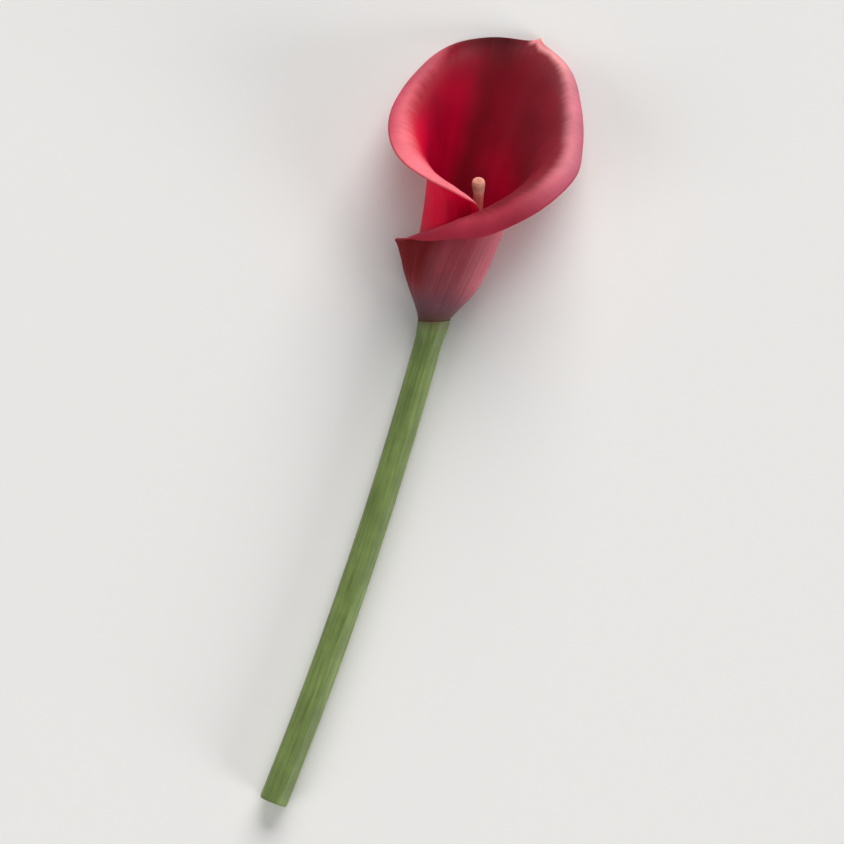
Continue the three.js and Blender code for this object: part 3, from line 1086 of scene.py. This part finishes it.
def makeSpadixTree():
    tree, given, result = addGrowth("spadixGrowth", spadixInputs)
    swept = useGroup(tree, sweepGroup, {
        "Path": given["Geometry"], **{name: given[name] for name in ("Sides", "Rings", "Cap Rings")},
    })
    dots, share, turn = sunflower(tree, given["Florets"])
    sample = sampleCurve(tree, swept["Curve"], share)
    outward = addNode(tree, "ShaderNodeVectorRotate", {
        "Vector": sample["Normal"], "Axis": sample["Tangent"], "Angle": turn,
    }, rotation_type="AXIS_ANGLE").outputs[0]
    spot = summed(tree, sample["Position"], scaled(tree, outward, sample["Value"]))
    # over the dome of the tip the florets face forwards more and more
    ratio = calc(tree, "DIVIDE", sample["Value"], given["Full Radius"], clamp=True)
    forward = calc(tree, "SQRT", calc(tree, "SUBTRACT", 1.0, squared(tree, ratio), clamp=True))
    forward = times(tree, forward, ranged(tree, share, *spadix["faceForwards"]))
    facing = summed(tree, scaled(tree, outward, ratio), scaled(tree, sample["Tangent"], forward))
    turned = addNode(tree, "FunctionNodeAlignRotationToVector", {"Vector": facing}, axis="Z").outputs[0]
    bead = addNode(tree, "GeometryNodeMeshUVSphere", {"Segments": 6, "Rings": 5, "Radius": 1.0}).outputs[0]
    crown = separated(tree, addNode(tree, "GeometryNodeInputPosition").outputs[0])[2]
    size = times(tree, randomValue(tree, *spadix["floretRange"], given["Seed"]), given["Floret Size"])
    atTip = spadix["floretAtTip"]
    size = times(tree, size, calc(tree, "MULTIPLY_ADD", ratio, 1 - atTip, atTip))
    addBeads(tree, swept["Mesh"], {
        "Points": stored(tree, moved(tree, dots, spot), "upShaft", share),
        "Instance": stored(tree, bead, "crown", crown),
        "Rotation": turned,
        "Scale": combined(tree, size, size, times(tree, size, spadix["floretHeight"])),
    }, given, result)
    return tree


def makeSpadixFinish():
    material, tree, shader = newMaterial("spadixFlorets")
    crown = fromMesh(tree, "crown")["Fac"]
    upShaft = fromMesh(tree, "upShaft")["Fac"]
    # painted shade in the crevices between florets, and a painted red reflection lower down
    colour = painted(tree, ranged(tree, crown, -0.2, 0.7), spadix["floretGapShade"], spadix["crown"])
    colour = painted(tree, ranged(tree, upShaft, *spadix["lowReflectionFade"]), colour, spadix["low"])
    mottled = useGroup(tree, mottleGroup, {
        "Color": colour, "Patch Size": 1.6, "Cell Size": 0.12, "Amount": 0.16,
    })
    fill(tree, shader, {
        "Base Color": mottled["Color"],
        "Roughness": spadix["roughness"],
        "Normal": bumped(tree, mottled["Grain"], spadix["relief"]),
        "Subsurface Weight": 0.35,
        "Subsurface Radius": (1.0, 0.5, 0.3),
        "Subsurface Scale": 0.6 * mm,
    })
    return material


spadixPiece = growAlong(
    "spadixColumn", *spadixPath(), makeSpadixTree(), spadixInputs, makeSpadixFinish()
)
print("spadix grown:", len(spadixPiece.data.polygons), "faces")

for piece, node in ((spathePiece, "spathe"), (stemPiece, "stem"), (spadixPiece, "spadix")):
    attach(piece, "root")
    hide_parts(node)


# pale table, camera and wide soft lights, far away so that the whole table is evenly lit

studio = {
    "floorSize": 6000,
    "floorColour": rgb(236, 235, 233),
    "floorRoughness": 0.7,
    "worldColour": (0.93, 0.95, 1.0, 1.0),
    "worldStrength": 0.09,
    "backdropStrength": 0.86,
    "lens": 200,
    "sensor": 36,
    "viewHeight": 304,
    # name, azimuth from +X towards +Y, elevation, width in degrees, strength and colour
    "lamps": [
        ("keyLight", 75, 27, 44, 3.4, (1.0, 0.985, 0.97)),
        ("rightLight", -35, 13, 30, 1.85, (1.0, 1.0, 1.0)),
        ("leftLight", 206, 30, 34, 0.8, (1.0, 1.0, 1.0)),
        ("overLight", 60, 80, 40, 0.4, (1.0, 1.0, 1.0)),
    ],
}


def makeFloor():
    half = studio["floorSize"] * mm / 2
    corners = [(-half, -half, 0), (half, -half, 0), (half, half, 0), (-half, half, 0)]
    mesh = bpy.data.meshes.new("floorSheet")
    mesh.from_pydata(corners, [], [(0, 1, 2, 3)])
    floor = addObject("floor", mesh)
    material, tree, shader = newMaterial("paleTable")
    fill(tree, shader, {"Base Color": studio["floorColour"], "Roughness": studio["floorRoughness"]})
    mesh.materials.append(material)


def makeCamera():
    camera = addObject("camera", bpy.data.cameras.new("camera"))
    camera.data.lens = studio["lens"]
    camera.data.sensor_width = studio["sensor"]
    reach = studio["viewHeight"] * mm * studio["lens"] / studio["sensor"]
    centre = (cadLow + cadHigh) / 2
    camera.location = (centre.x, centre.y, reach + cadHigh.z / 2)
    camera.rotation_euler = (0, 0, 0)  # straight down, with +Y up in the picture
    bpy.context.scene.camera = camera


def makeLights():
    for name, azimuth, elevation, width, strength, colour in studio["lamps"]:
        turn, rise = math.radians(azimuth), math.radians(elevation)
        way = Vector((math.cos(turn) * math.cos(rise), math.sin(turn) * math.cos(rise), math.sin(rise)))
        lamp = bpy.data.lights.new(name, "SUN")
        lamp.angle = math.radians(width)
        lamp.energy = strength
        lamp.color = colour
        addObject(name, lamp).rotation_euler = way.to_track_quat("Z", "Y").to_euler()


def makeWorld():
    # the backdrop shows pale, like the table, and lights the flower only softly
    world = bpy.data.worlds.new("studioAir")
    world.use_nodes = True
    tree = world.node_tree
    seen = addNode(tree, "ShaderNodeLightPath").outputs["Is Camera Ray"]
    dim, bright = studio["worldStrength"], studio["backdropStrength"]
    fill(tree, tree.nodes["Background"].inputs, {
        "Color": studio["worldColour"],
        "Strength": ranged(tree, seen, 0.0, 1.0, dim, bright, soft=False),
    })
    bpy.context.scene.world = world


makeFloor()
makeCamera()
makeLights()
makeWorld()
bpy.context.scene.view_settings.view_transform = "Standard"
print("studio set:", len(studio["lamps"]), "lamps")
